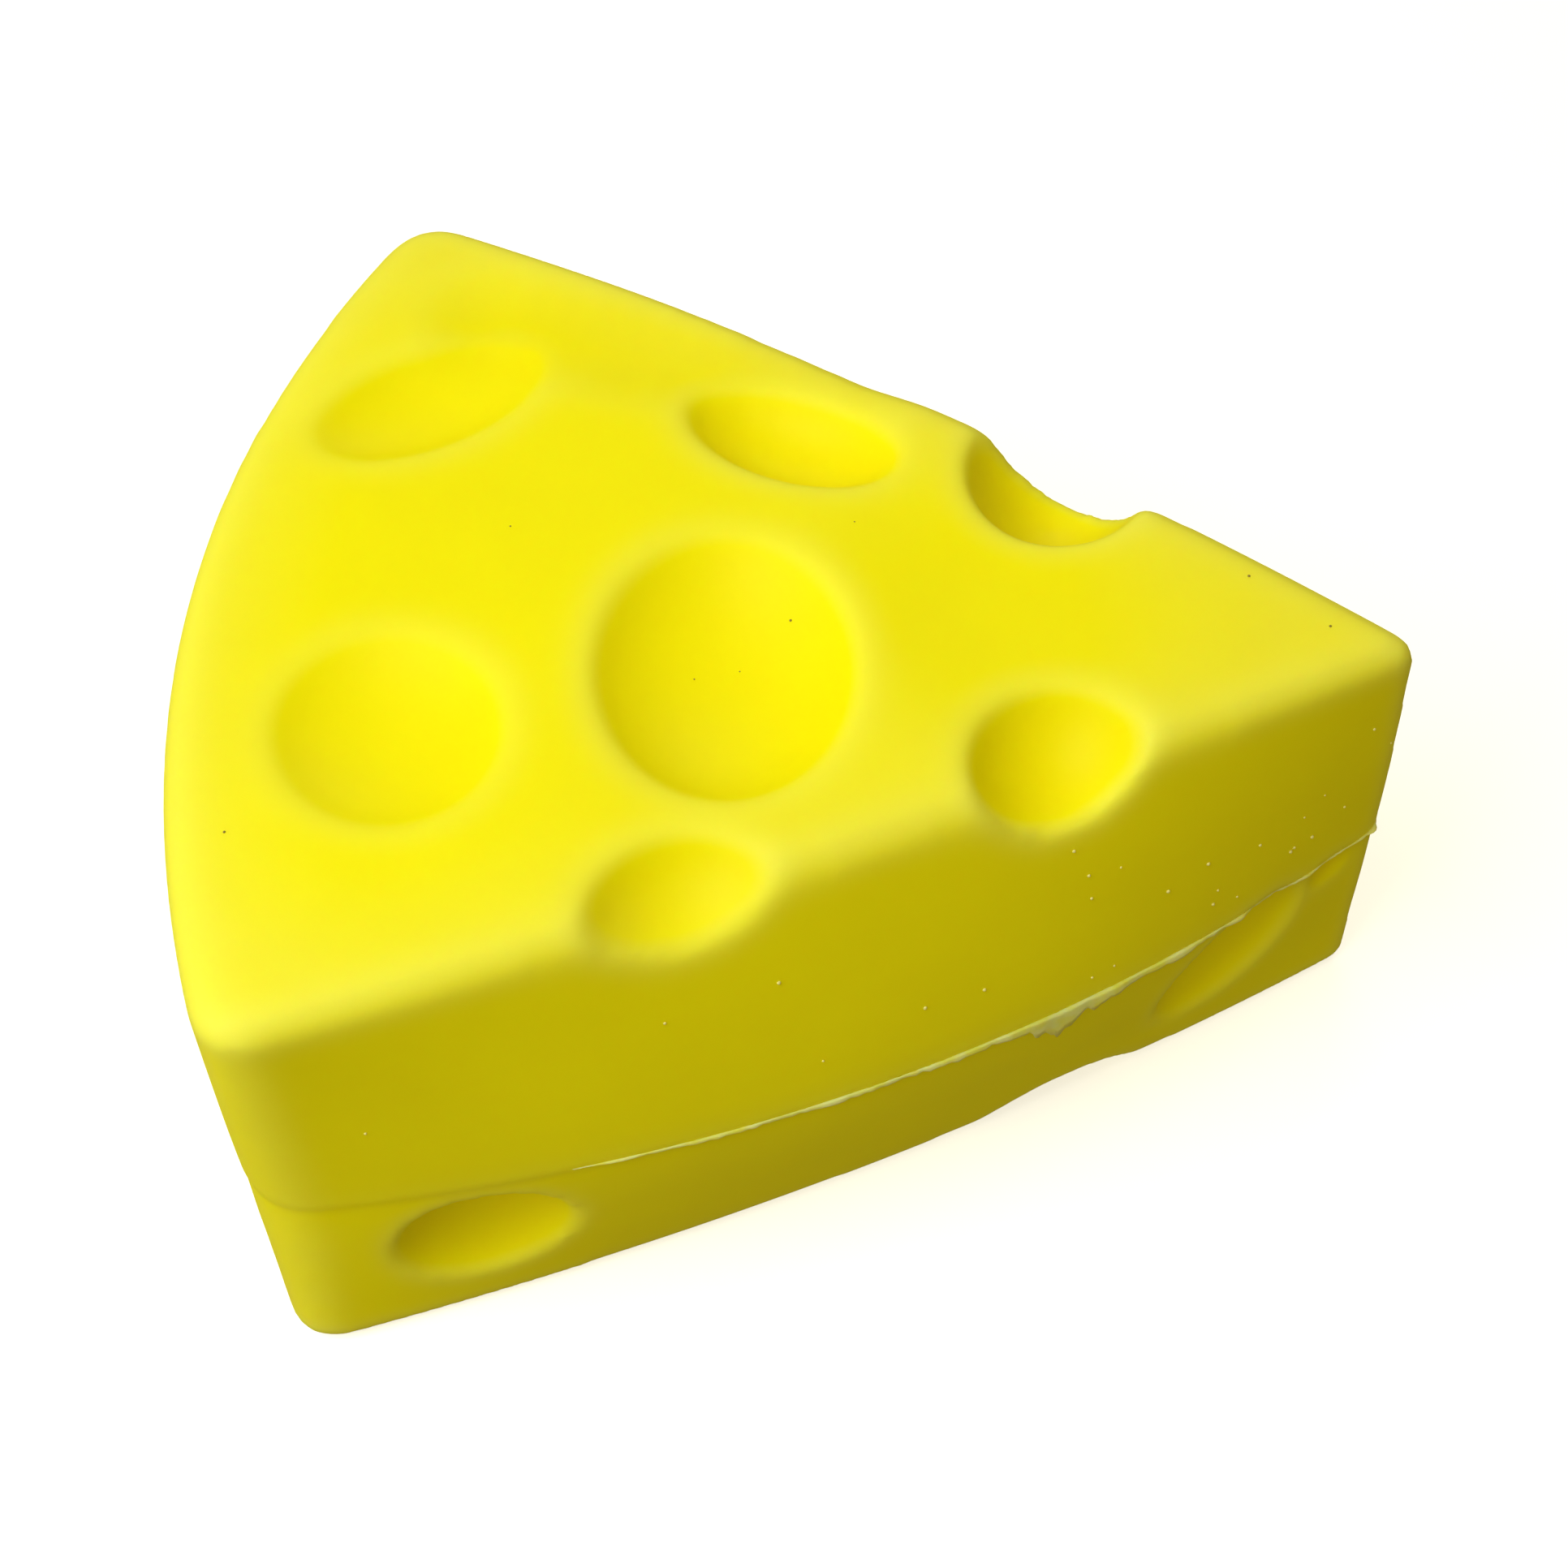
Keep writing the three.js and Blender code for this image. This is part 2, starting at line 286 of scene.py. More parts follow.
# %% Where the dimples are
DIMPLES = {
    "top": [
        (-26.1, 16.2, 8.8, 4.9, 1.9, 35, 0),
        (-1.2, 14.4, 7.8, 4.3, 3.4, -19, 0),
        (-3.9, -5.8, 11.0, 8.5, 4.0, 97, 0),
        (-24.0, -12.3, 7.9, 7.3, 2.1, 123, 0),
        (-4.3, -25.2, 6.4, 6.4, 3.6, 0, 0),
        (17.0, -12.3, 5.8, 6.3, 4.5, 0, 0),
        (16.7, 12.2, 6.3, 6.4, 6.2, 0, 0),
    ],
    "base": [
        (-20.0, 3.2, 8.4, 7.8, 3.4, 20, 0),
        (11.5, -1.9, 5.0, 4.6, 2.2, 60, 0),
        (-23.0, -20.0, 5.6, 4.8, 2.4, -40, 0),
        (-6.9, 15.5, 5.2, 4.4, 2.2, 25, 0),
        (19.6, -13.2, 6.4, 5.4, 3.0, -27, 0),
    ],
    "near": [
        (-18.0, 10.0, 6.1, 5.4, 2.8, 0, -18),
        (31.0, 10.6, 7.4, 4.6, 1.7, 52, -16),
        (37.3, 16.0, 1.8, 1.6, 0.6, 0, 0),
    ],
    "far": [(16.9, 10.0, 4.8, 4.2, 1.6, 20, 0), (-12.1, 12.9, 6.2, 5.2, 2.0, -15, 0)],
    "rind": [(11.5, 20.8, 6.4, 5.6, 2.2, 30, 0), (-1.4, 9.1, 3.8, 3.4, 1.3, 0, 0)],
}
DIMPLE_LIFT = 0.5            # share of the ball's half height that its middle is lifted by
BALL_SEGMENTS, BALL_RINGS = 72, 36


def face_spot(face, u, v):
    """The place on a face, and the way out of it. Walls are felt for with a level ray."""
    if face == "top":
        return Vector((u * MM, v * MM, size.z)), Vector((0, 0, 1))
    if face == "base":
        return Vector((u * MM, v * MM, 0)), Vector((0, 0, -1))
    ways = {"near": Vector((0, 1, 0)), "far": Vector((0, -1, 0)), "rind": Vector((1, 0, 0))}
    way = ways[face]
    aim = Vector((0, u, v)) * MM if face == "rind" else Vector((u, 0, v)) * MM
    hit, place, normal, _ = wedge.ray_cast(aim - way, way)
    assert hit, f"no wall at {face} {u} {v}"
    normal.z = 0
    return place, normal.normalized()


# %% Cut the dimples
def pick(*pieces):
    """Makes these objects the only ones that an operator acts on."""
    bpy.ops.object.select_all(action="DESELECT")
    for piece in pieces:
        piece.select_set(True)
    bpy.context.view_layer.objects.active = pieces[0]


def apply_modifier(piece, kind, **settings):
    """Adds a modifier to a piece and applies it straight away."""
    modifier = piece.modifiers.new(kind.lower(), kind)
    for name, value in settings.items():
        setattr(modifier, name, value)
    pick(piece)
    bpy.ops.object.modifier_apply(modifier=modifier.name)


def dimple_ball(face, u, v, half_length, half_width, depth, angle, lean):
    """The squashed ball that cuts one dimple."""
    place, out = face_spot(face, u, v)
    lengthwise = Vector((1, 0, 0)) if abs(out.z) > 0.5 else Vector((-out.y, out.x, 0))
    basis = Matrix((lengthwise, out.cross(lengthwise), out)).transposed().to_4x4()
    half_height = depth * MM / (1 - DIMPLE_LIFT)
    spread = MM / math.sqrt(1 - DIMPLE_LIFT**2)
    bpy.ops.mesh.primitive_uv_sphere_add(segments=BALL_SEGMENTS, ring_count=BALL_RINGS, radius=1)
    ball = fresh_object("dimple_ball")
    ball.matrix_world = (
        Matrix.Translation(place + out * (DIMPLE_LIFT * half_height))
        @ basis
        @ Matrix.Rotation(math.radians(angle), 4, "Z")
        @ Matrix.Rotation(math.radians(lean), 4, "X")
        @ Matrix.Diagonal((half_length * spread, half_width * spread, half_height, 1))
    )
    pick(ball)
    bpy.ops.object.transform_apply(location=True, rotation=True, scale=True)
    return ball


balls = [dimple_ball(face, *dimple) for face in DIMPLES for dimple in DIMPLES[face]]
for ball in balls:
    apply_modifier(wedge, "BOOLEAN", operation="DIFFERENCE", solver="EXACT", object=ball)
    bpy.data.objects.remove(ball)
print("dimples cut:", len(balls), "- faces now:", len(wedge.data.polygons))

# %% [markdown]
# ## Soft lips
#
# A mould for soft rubber has no knife edges, so where a bowl meets a face there is a soft lip
# about a millimetre wide. The cut edges are far too sharp, and their faces are long slivers.
# The voxel remesh covers the whole wedge in small even squares, and a few rounds of smoothing
# then melt the edges. A vertex group makes the lips in the top and the base melt fully and
# everything else by less than a third as much, so that the rims stay as crisp as they are.

# %% Even skin and soft lips
VOXEL = 0.46
LIP_REACH = 3                # past a dimple's half length, how far its lip is softened
TOP_SKIN, BASE_SKIN = 8, 6   # how deep the softened skin goes below the top, above the base
LIP_SOFTNESS, REST_SOFTNESS = 1.0, 0.3
SMOOTH_ROUNDS = 22


def read_points(mesh):
    places = np.empty(len(mesh.vertices) * 3, np.float32)
    mesh.vertices.foreach_get("co", places)
    return places.reshape(-1, 3)


apply_modifier(wedge, "REMESH", mode="VOXEL", voxel_size=VOXEL * MM)
places = read_points(wedge.data) / MM
lips = np.zeros(len(places), bool)
for u, v, half_length, *_ in DIMPLES["top"] + DIMPLES["base"]:
    lips |= np.hypot(places[:, 0] - u, places[:, 1] - v) < half_length + LIP_REACH
lips &= (places[:, 2] > HEIGHT - TOP_SKIN) | (places[:, 2] < BASE_SKIN)
soft_skin = wedge.vertex_groups.new(name="soft_skin")
soft_skin.add(np.flatnonzero(lips).tolist(), LIP_SOFTNESS, "REPLACE")
soft_skin.add(np.flatnonzero(~lips).tolist(), REST_SOFTNESS, "REPLACE")
apply_modifier(
    wedge, "SMOOTH", factor=0.5, iterations=SMOOTH_ROUNDS, vertex_group="soft_skin"
)
pick(wedge)
bpy.ops.object.shade_smooth()
print("skin:", len(wedge.data.polygons), "faces, soft points:", int(lips.sum()))

# %% [markdown]
# ## Sag
#
# Rubber shrinks as it cools, most where it is thickest, so the top isn't a true plane. It
# dishes a little between the big dimple and the tip, and it rolls down in a long shallow
# trough inside the far rim. In edit mode, a few points are picked along each low line and
# moved down with proportional editing, which carries the skin round them along softly.

# %% Sag of the top
DISH = [(12.0, 1.0), (13.0, 0.0)]
TROUGH_ENDS, TROUGH_SPOTS = ((-23, 24.0), (2, 19.5)), 26
PICK_REACH = 0.7             # how near a place a point has to be to be picked


def sag_skin(line, reach, depth):
    """Moves the top down by depth, in mm, along a line of places, fading out over reach."""
    places = read_points(wedge.data) / MM
    on_top = places[:, 2] > HEIGHT * 0.8
    chosen = np.zeros(len(places), bool)
    for spot in line:
        chosen |= on_top & (np.hypot(*(places[:, :2] - spot).T) < PICK_REACH)
    pick(wedge)
    bpy.ops.object.mode_set(mode="EDIT")
    bpy.ops.mesh.select_mode(type="VERT")
    bpy.ops.mesh.select_all(action="DESELECT")
    bpy.ops.object.mode_set(mode="OBJECT")
    wedge.data.vertices.foreach_set("select", chosen)
    bpy.ops.object.mode_set(mode="EDIT")
    bpy.ops.transform.translate(
        value=(0, 0, -depth * MM),
        use_proportional_edit=True,
        proportional_edit_falloff="SMOOTH",
        proportional_size=reach * MM,
    )
    bpy.ops.object.mode_set(mode="OBJECT")
    return int(chosen.sum())


def straight(start, end, count):
    """Places evenly along a line."""
    return [np.array(start) + (np.array(end) - start) * k / (count - 1) for k in range(count)]


print("dish:", sag_skin(DISH, reach=13, depth=0.75), "points picked")
trough = straight(*TROUGH_ENDS, TROUGH_SPOTS)
print("trough:", sag_skin(trough, reach=6, depth=0.6), "points picked")

# %% [markdown]
# ## The parting line
#
# The lower half of the mould was a little narrower than the upper half where they met, so
# there is a fine step all the way round: the wall drops in by about a seventh of a millimetre
# and comes back out over the next few millimetres below. It is too fine for an operator to
# pick out, so the points below the line are moved along their own normals.

# %% Step below the parting line
STEP_DEPTH, STEP_WIDTH, STEP_FADE = 0.14, 0.3, 6.0


def read_normals(mesh):
    normals = np.empty(len(mesh.vertices) * 3, np.float32)
    mesh.vertices.foreach_get("normal", normals)
    return normals.reshape(-1, 3)


def write_points(mesh, places):
    mesh.vertices.foreach_set("co", places.astype(np.float32).ravel())
    mesh.update()


places, normals = read_points(wedge.data), read_normals(wedge.data)
below = PARTING - places[:, 2] / MM
step = np.clip(below / STEP_WIDTH, 0, 1) * np.clip(1 - below / STEP_FADE, 0, 1) ** 1.5
write_points(wedge.data, places - normals * (step * STEP_DEPTH * MM)[:, None])
print("points moved in:", int((step > 0).sum()))

# %% [markdown]
# ## Torn flash
#
# Where the mould halves didn't quite close, a film of rubber squeezed out between them. Most
# of it was pulled off, which left a thin ragged fringe along the parting line, small nubs at
# a few places, and one torn sliver that hangs down the near side. The film is a strip of
# grid laid round the wedge: its upper edge is buried in the skin, and it hangs by a
# different amount at each place. Solidify then gives the strip its thickness. Away from the
# near side the film was cut clean, so there it stays inside the skin except at the nubs.
#
# How far it hangs is given at a few places along the near side, and a seeded jagged noise
# makes it ragged between them.

# %% How far the flash hangs
HANG = [
    (-12, 0.03), (-8, 0.10), (-4, 0.16), (2, 0.24), (8, 0.30), (12, 0.36), (15, 0.42),
    (16.6, 0.55), (17.0, 1.9), (17.5, 1.7), (18.2, 2.1), (18.8, 2.7), (19.2, 2.0), (19.8, 1.5),
    (20.3, 1.1), (20.8, 1.4), (21.2, 0.9), (22.2, 0.7), (23.2, 0.55), (24.5, 0.42), (26, 0.36),
    (28, 0.30), (31, 0.22), (34, 0.12), (38, 0.06),
]
FRINGE, LEAST_HANG = 0.05, 0.03    # how far it hangs elsewhere, and at the very least
BURIED_EDGE, CLEAN_CUT = -0.3, -0.12
FILM_THICKNESS = 0.12
NUB_REACH = 0.9
# where each nub is, and how far it stands out
NUBS = [(40.6, -1.5, 0.55), (-37.2, -17.5, 0.4), (-34.2, -29.0, 0.35), (-30.0, 33.0, 0.3)]
FILM_ROWS, FILM_STEP = 6, 0.25
NOISE_STEPS = (2, 5)         # fine and coarse raggedness, in steps along the film
jagged = random.Random(7)


def jagged_noise(count, coarse):
    """Values from -1 to 1 at count places, straight between random ones every few places."""
    knots = [jagged.uniform(-1, 1) for _ in range(count // coarse + 2)]
    places = [k / coarse for k in range(count)]
    return [knots[int(p)] * (1 - p % 1) + knots[int(p) + 1] * (p % 1) for p in places]


# %% Lay the film round the parting line
def even_path(points, step):
    """Places a step apart round a closed outline, each with the level way out of it."""
    path, carry = [], 0.0
    for a, b in zip(points, points[1:] + points[:1]):
        along = b - a
        while carry < along.length:
            path.append((a + along.normalized() * carry, Vector((along.y, -along.x)).normalized()))
            carry += step
        carry -= along.length
    return path


def skin_place(x, y, z, out):
    """Where the skin is at a height, straight in from outside."""
    away = Vector((x, y, z)) * MM + Vector((out.x, out.y, 0)) * 5 * MM
    hit, place, _, _ = wedge.ray_cast(away, Vector((-out.x, -out.y, 0)))
    return place if hit else Vector((x, y, z)) * MM


path = [(p + Vector((SHIFT, 0)), out) for p, out in even_path(outline_at(PARTING, 0), FILM_STEP)]
fine_noise, coarse_noise = (jagged_noise(len(path), coarse) for coarse in NOISE_STEPS)
bpy.ops.object.select_all(action="DESELECT")
bpy.ops.mesh.primitive_grid_add(
    x_subdivisions=len(path), y_subdivisions=FILM_ROWS, size=size.x, location=(0, 0, 0)
)
film = fresh_object("torn_flash")
columns = len(path) + 1
known_x, known_hang = zip(*HANG)
film_places = np.zeros((len(film.data.vertices), 3))
for i in range(columns):
    spot, out = path[i % len(path)]
    fine, coarse = fine_noise[i % len(path)], coarse_noise[i % len(path)]
    ragged = 1 + 0.35 * fine + 0.3 * coarse
    near_side = spot.y < 0 and spot.x > known_x[0]
    hang = np.interp(spot.x, known_x, known_hang) if near_side else FRINGE
    hang = max(LEAST_HANG, hang * ragged)
    proud = CLEAN_CUT
    if near_side:
        proud = 0.3 * min(hang, 0.35) + 0.05 * coarse + 0.1 * min(hang, 1)
    for x, y, reach in NUBS:
        proud += reach * max(0, 1 - math.hypot(spot.x - x, spot.y - y) / NUB_REACH)
    for row in range(FILM_ROWS + 1):
        share = row / FILM_ROWS
        place = skin_place(spot.x, spot.y, PARTING + 0.1, out)
        place.z -= hang * share**2 * MM
        stand = proud * (0.6 + 0.8 * share) if row else BURIED_EDGE
        place += Vector((out.x, out.y, 0)) * stand * MM
        film_places[row * columns + i] = place
write_points(film.data, film_places)
apply_modifier(film, "SOLIDIFY", thickness=FILM_THICKNESS * MM, offset=0)
bpy.ops.object.mode_set(mode="EDIT")
bpy.ops.mesh.select_all(action="SELECT")
bpy.ops.mesh.remove_doubles(threshold=0.001 * MM)
bpy.ops.mesh.normals_make_consistent(inside=False)
bpy.ops.object.mode_set(mode="OBJECT")
bpy.ops.object.shade_smooth()
print("flash:", len(film.data.polygons), "faces, round", round(len(path) * FILM_STEP), "mm")

# %% [markdown]
# ## Specks
#
# Soft rubber picks up dust, and small bubbles burst at its skin. On the near side, most of
# them near the tip, are pale specks a fifth of a millimetre across, and a few dark ones lie
# on the top. They are real grains here and not paint, each a tiny ball sunk half way into
# the skin. A seeded scatter places them, most thickly low down and near the tip, and one ball
# is copied with its own mesh for each.

# %% Scatter the specks
dusty = random.Random(21)
scene_objects = bpy.context.scene.collection.objects


def scatter_specks(name, places, biggest):
    """One object of small balls, half sunk into the skin where a ray from outside meets it."""
    bpy.ops.object.select_all(action="DESELECT")
    bpy.ops.mesh.primitive_ico_sphere_add(subdivisions=2, radius=biggest * MM, location=(0, 0, 0))
    first = fresh_object(name)
    copies = []
    for start, way in places:
        hit, place, _, _ = wedge.ray_cast(Vector(start) * MM, Vector(way))
        if hit:
            grain = bpy.data.objects.new(name + "_grain", first.data.copy())
            scene_objects.link(grain)
            grain.location = place
            grain.scale = [dusty.uniform(0.5, 1)] * 3
            copies.append(grain)
    bpy.data.objects.remove(first)
    pick(*copies)
    bpy.ops.object.join()
    bpy.ops.object.transform_apply(location=True, rotation=True, scale=True)
    joined = bpy.context.object
    joined.name = joined.data.name = name
    bpy.ops.object.shade_smooth()
    return joined


# %% Sprinkle the near side and the top
IN_FRONT, ABOVE = -70, 60
TIP_SPECKS, RIND_SPECKS, TOP_SPECKS = 22, 4, 9
PALE_RADIUS, DARK_RADIUS = 0.14, 0.1
near_places, top_places = [], []
for _ in range(TIP_SPECKS):
    along, up = dusty.triangular(8, 40, 34), dusty.triangular(18, 36, 22)
    near_places.append(((along, IN_FRONT, up), (0, 1, 0)))
for _ in range(RIND_SPECKS):
    along, up = dusty.uniform(-28, 10), dusty.uniform(19, 33)
    near_places.append(((along, IN_FRONT, up), (0, 1, 0)))
for _ in range(TOP_SPECKS):
    along = dusty.uniform(-34, 34)
    across = dusty.uniform(-0.35, 0.35) * (41 - along)
    top_places.append(((along, across, ABOVE), (0, 0, -1)))
pale_specks = scatter_specks("pale_specks", near_places, PALE_RADIUS)
dark_specks = scatter_specks("dark_specks", top_places, DARK_RADIUS)
print("specks:", len(near_places), "pale and", len(top_places), "dark")

# %% [markdown]
# ## Where the skin curves
#
# The rubber is slightly see-through. Besides that, its colour carries a painted sheen, paler,
# along the rims and on the lips of the dimples, and painted shade, a deeper yellow, in the
# bowls. The shader needs to know which places those are, so how much the skin bulges or dips
# is measured here and kept on the mesh as an attribute, from 0 in a hollow, through 0.5 where
# it is flat, to 1 on a rim.

# %% Measure the bulge of the skin
def neighbour_mean(values, edges, count):
    """The mean of each point's neighbours."""
    total = np.zeros((len(count), values.shape[1]))
    for column in range(values.shape[1]):
        total[:, column] += np.bincount(edges[:, 0], values[edges[:, 1], column], len(count))
        total[:, column] += np.bincount(edges[:, 1], values[edges[:, 0], column], len(count))
    return total / count[:, None]


def measure_bulge(mesh, full_bulge, rounds):
    edges = np.empty(len(mesh.edges) * 2, np.int32)
    mesh.edges.foreach_get("vertices", edges)
    edges = edges.reshape(-1, 2)
    count = np.maximum(np.bincount(edges.ravel(), minlength=len(mesh.vertices)), 1)
    places, normals = read_points(mesh).astype(float), read_normals(mesh).astype(float)
    gap = ((places[edges[:, 0]] - places[edges[:, 1]]) ** 2).sum(1).mean()
    dip = ((places - neighbour_mean(places, edges, count)) * normals).sum(1, keepdims=True)
    bulge = dip * 2 / gap * MM
    for _ in range(rounds):
        bulge = (bulge + neighbour_mean(bulge, edges, count)) / 2
    return np.clip(0.5 + 0.5 * bulge[:, 0] / full_bulge, 0, 1)


def keep_attribute(piece, name, values):
    layer = piece.data.attributes.new(name, "FLOAT", "POINT")
    layer.data.foreach_set("value", values.astype(np.float32))
    spread = [round(float(q), 2) for q in np.percentile(values, (1, 25, 50, 75, 99))]
    print(name, "from 1% to 99% of the points:", spread)


keep_attribute(wedge, "bulge", measure_bulge(wedge.data, full_bulge=0.3, rounds=12))

# %% Measure how near a rim is, for a painted sheen
# The same measure, spread over several millimetres, and only where the skin faces up or rindward,
# towards the lamps. It places a painted sheen along the rims that face the light.
FACING_FROM, FACING_OVER = 0.45, 0.4
normals = read_normals(wedge.data)
facing = np.maximum(normals[:, 2], -normals[:, 0])
in_light = np.clip((facing - FACING_FROM) / FACING_OVER, 0, 1)
painted_rim_sheen = measure_bulge(wedge.data, full_bulge=0.08, rounds=400) - 0.5
keep_attribute(wedge, "painted_rim_sheen", 0.5 + painted_rim_sheen * in_light)

# %% [markdown]
# ## The rubber
#
# The toy is one colour all through, a satin yellow with no paint on it. Light goes a little
# way into it, red and green further than blue, so the walls are a deep warm yellow. Three
# things are laid over each other here: from how much the skin bulges, painted shade, a deeper
# yellow, in the bowls and a painted sheen, paler, on the lips; a painted sheen along the rims
# that face the light; and a faint cloudiness. A fine grain in the bump keeps the shine broad
# and soft.
#
# The flash is the same rubber, but so thin that it looks almost white. The specks get plain
# colours of their own, each a little uneven.

# %% Ramps, and a material to start from
def value_ramp(nodes, stops):
    """A colour ramp with these (position, colour) stops."""
    ramp = nodes.new("ShaderNodeValToRGB")
    points = ramp.color_ramp.elements
    while len(points) < len(stops):
        points.new(0.5)
    for point, (position, colour) in zip(points, stops):
        point.position, point.color = position, (*colour, 1)
    return ramp


def fresh_material(name):
    """A new material, its nodes and links, and its Principled shader."""
    material = bpy.data.materials.new(name)
    material.use_nodes = True
    nodes, links = material.node_tree.nodes, material.node_tree.links
    return material, nodes, links, nodes["Principled BSDF"]


# %% How light goes into the rubber
yellow_rubber, nodes, links, shader = fresh_material("yellow_rubber")
shader.inputs["Specular IOR Level"].default_value = 0.1
shader.inputs["Subsurface Weight"].default_value = 0.3
shader.inputs["Subsurface Radius"].default_value = (1.0, 0.7, 0.1)
shader.inputs["Subsurface Scale"].default_value = 1.3 * MM
rubber_spots = nodes.new("ShaderNodeTexCoord")
print("light goes in, mm:", round(shader.inputs["Subsurface Scale"].default_value / MM, 2))

# %% The rubber's colour, with painted shade in the hollows and a painted sheen on lips and rims
# The hollow colour is painted shade, a deeper yellow; the lip colour is a painted sheen, paler.
BOWL_SHADE, FLAT, LIP_SHEEN = (0.95, 0.82, 0.0), (0.96, 0.89, 0.0), (0.93, 0.93, 0.09)
# The rim colour and its greatest strength make a painted sheen along the rims that face the light.
RIM_SHEEN, MOST_RIM_SHEEN = (0.88, 0.87, 0.14), 0.28
bulge = nodes.new("ShaderNodeAttribute")
bulge.attribute_name = "bulge"
shade_and_sheen_colour = value_ramp(nodes, [(0.0, BOWL_SHADE), (0.5, FLAT), (1.0, LIP_SHEEN)])
links.new(bulge.outputs["Fac"], shade_and_sheen_colour.inputs["Fac"])

# The painted rim sheen is mixed over the colour where the rim attribute is high.
rim = nodes.new("ShaderNodeAttribute")
rim.attribute_name = "painted_rim_sheen"
rim_sheen_ramp = value_ramp(nodes, [(0.60, (0, 0, 0)), (1.0, (MOST_RIM_SHEEN, MOST_RIM_SHEEN, MOST_RIM_SHEEN))])
links.new(rim.outputs["Fac"], rim_sheen_ramp.inputs["Fac"])
pale = nodes.new("ShaderNodeMix")
pale.data_type = "RGBA"
pale.inputs["B"].default_value = (*RIM_SHEEN, 1)
links.new(rim_sheen_ramp.outputs["Color"], pale.inputs["Factor"])
links.new(shade_and_sheen_colour.outputs["Color"], pale.inputs["A"])
print("colour stops:", len(shade_and_sheen_colour.color_ramp.elements))

# %% Cloudiness and shine
CLOUDS_PER_METRE = 90
mottle = nodes.new("ShaderNodeTexNoise")
mottle.inputs["Scale"].default_value = CLOUDS_PER_METRE
mottle.inputs["Detail"].default_value = 4
links.new(rubber_spots.outputs["Object"], mottle.inputs["Vector"])
mottle_range = nodes.new("ShaderNodeMapRange")
mottle_range.inputs["To Min"].default_value = 0.94
mottle_range.inputs["To Max"].default_value = 1.06
links.new(mottle.outputs["Fac"], mottle_range.inputs["Value"])
tone = nodes.new("ShaderNodeHueSaturation")
links.new(mottle_range.outputs["Result"], tone.inputs["Value"])
links.new(pale.outputs["Result"], tone.inputs["Color"])
links.new(tone.outputs["Color"], shader.inputs["Base Color"])

gloss = nodes.new("ShaderNodeMapRange")
gloss.inputs["To Min"].default_value = 0.42
gloss.inputs["To Max"].default_value = 0.58
links.new(mottle.outputs["Fac"], gloss.inputs["Value"])
links.new(gloss.outputs["Result"], shader.inputs["Roughness"])
print("clouds about", round(1000 / CLOUDS_PER_METRE), "mm across")

# %% Fine grain
GRAINS_PER_METRE = 1400
grain = nodes.new("ShaderNodeTexNoise")
grain.inputs["Scale"].default_value = GRAINS_PER_METRE
grain.inputs["Detail"].default_value = 3
links.new(rubber_spots.outputs["Object"], grain.inputs["Vector"])
bump = nodes.new("ShaderNodeBump")
bump.inputs["Strength"].default_value = 0.15
bump.inputs["Distance"].default_value = 0.05 * MM
links.new(grain.outputs["Fac"], bump.inputs["Height"])
links.new(bump.outputs["Normal"], shader.inputs["Normal"])
print("grain about", round(1000 / GRAINS_PER_METRE, 1), "mm across")

# %% The flash and the specks
def film_material(name):
    """The same rubber where it is too thin to look yellow."""
    material, nodes, links, shader = fresh_material(name)
    shader.inputs["Specular IOR Level"].default_value = 0.2
    shader.inputs["Roughness"].default_value = 0.4
    shader.inputs["Subsurface Weight"].default_value = 0.3
    shader.inputs["Subsurface Scale"].default_value = 1 * MM
    spots = nodes.new("ShaderNodeTexCoord")
    streaks = nodes.new("ShaderNodeTexNoise")
    streaks.inputs["Scale"].default_value = 700
    links.new(spots.outputs["Object"], streaks.inputs["Vector"])
    colour = value_ramp(nodes, [(0.35, (0.94, 0.88, 0.14)), (0.65, (0.98, 0.96, 0.42))])
    links.new(streaks.outputs["Fac"], colour.inputs["Fac"])
    links.new(colour.outputs["Color"], shader.inputs["Base Color"])
    return material


def speck_material(name, colour):
    """One colour, a little darker in patches."""
    material, nodes, links, shader = fresh_material(name)
    spots = nodes.new("ShaderNodeTexCoord")
    patches = nodes.new("ShaderNodeTexNoise")
    patches.inputs["Scale"].default_value = 3000
    links.new(spots.outputs["Object"], patches.inputs["Vector"])
    ramp = value_ramp(nodes, [(0.3, [c * 0.8 for c in colour]), (0.7, colour)])
    links.new(patches.outputs["Fac"], ramp.inputs["Fac"])
    links.new(ramp.outputs["Color"], shader.inputs["Base Color"])
    shader.inputs["Roughness"].default_value = 0.6
    return material


print("makers ready:", film_material.__name__, speck_material.__name__)

# %% Put the materials on
PALE_DUST, DARK_DUST = (0.96, 0.92, 0.35), (0.30, 0.24, 0.03)
wedge.data.materials.clear()
for piece, material in (
    (wedge, yellow_rubber),
    (film, film_material("thin_rubber")),
    (pale_specks, speck_material("pale_specks", PALE_DUST)),
    (dark_specks, speck_material("dark_specks", DARK_DUST)),
):
    piece.data.materials.append(material)
    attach(piece, "root")
    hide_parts("cheese_wedge")
    print(piece.name, "wears", material.name)

# %% [markdown]
# ## Floor and light
#
# The wedge stands on a white sheet that runs on without an edge. The sheet glows a little, so
# that it stays white under it, and it is kept out of the light that the rubber gathers from
# around it, because a white floor would wash the colour out of the walls.
#
# The main lamp is high, in front and to the left: it leaves the near wall in half shade and
# draws a dark crescent on the left of every bowl. A lamp on the left lights the rind, one
# behind lights the far rim, and a low one keeps the near wall from going dull. The sky is
# warm and strongest from the same side, so the shade is a deeper yellow than the light.

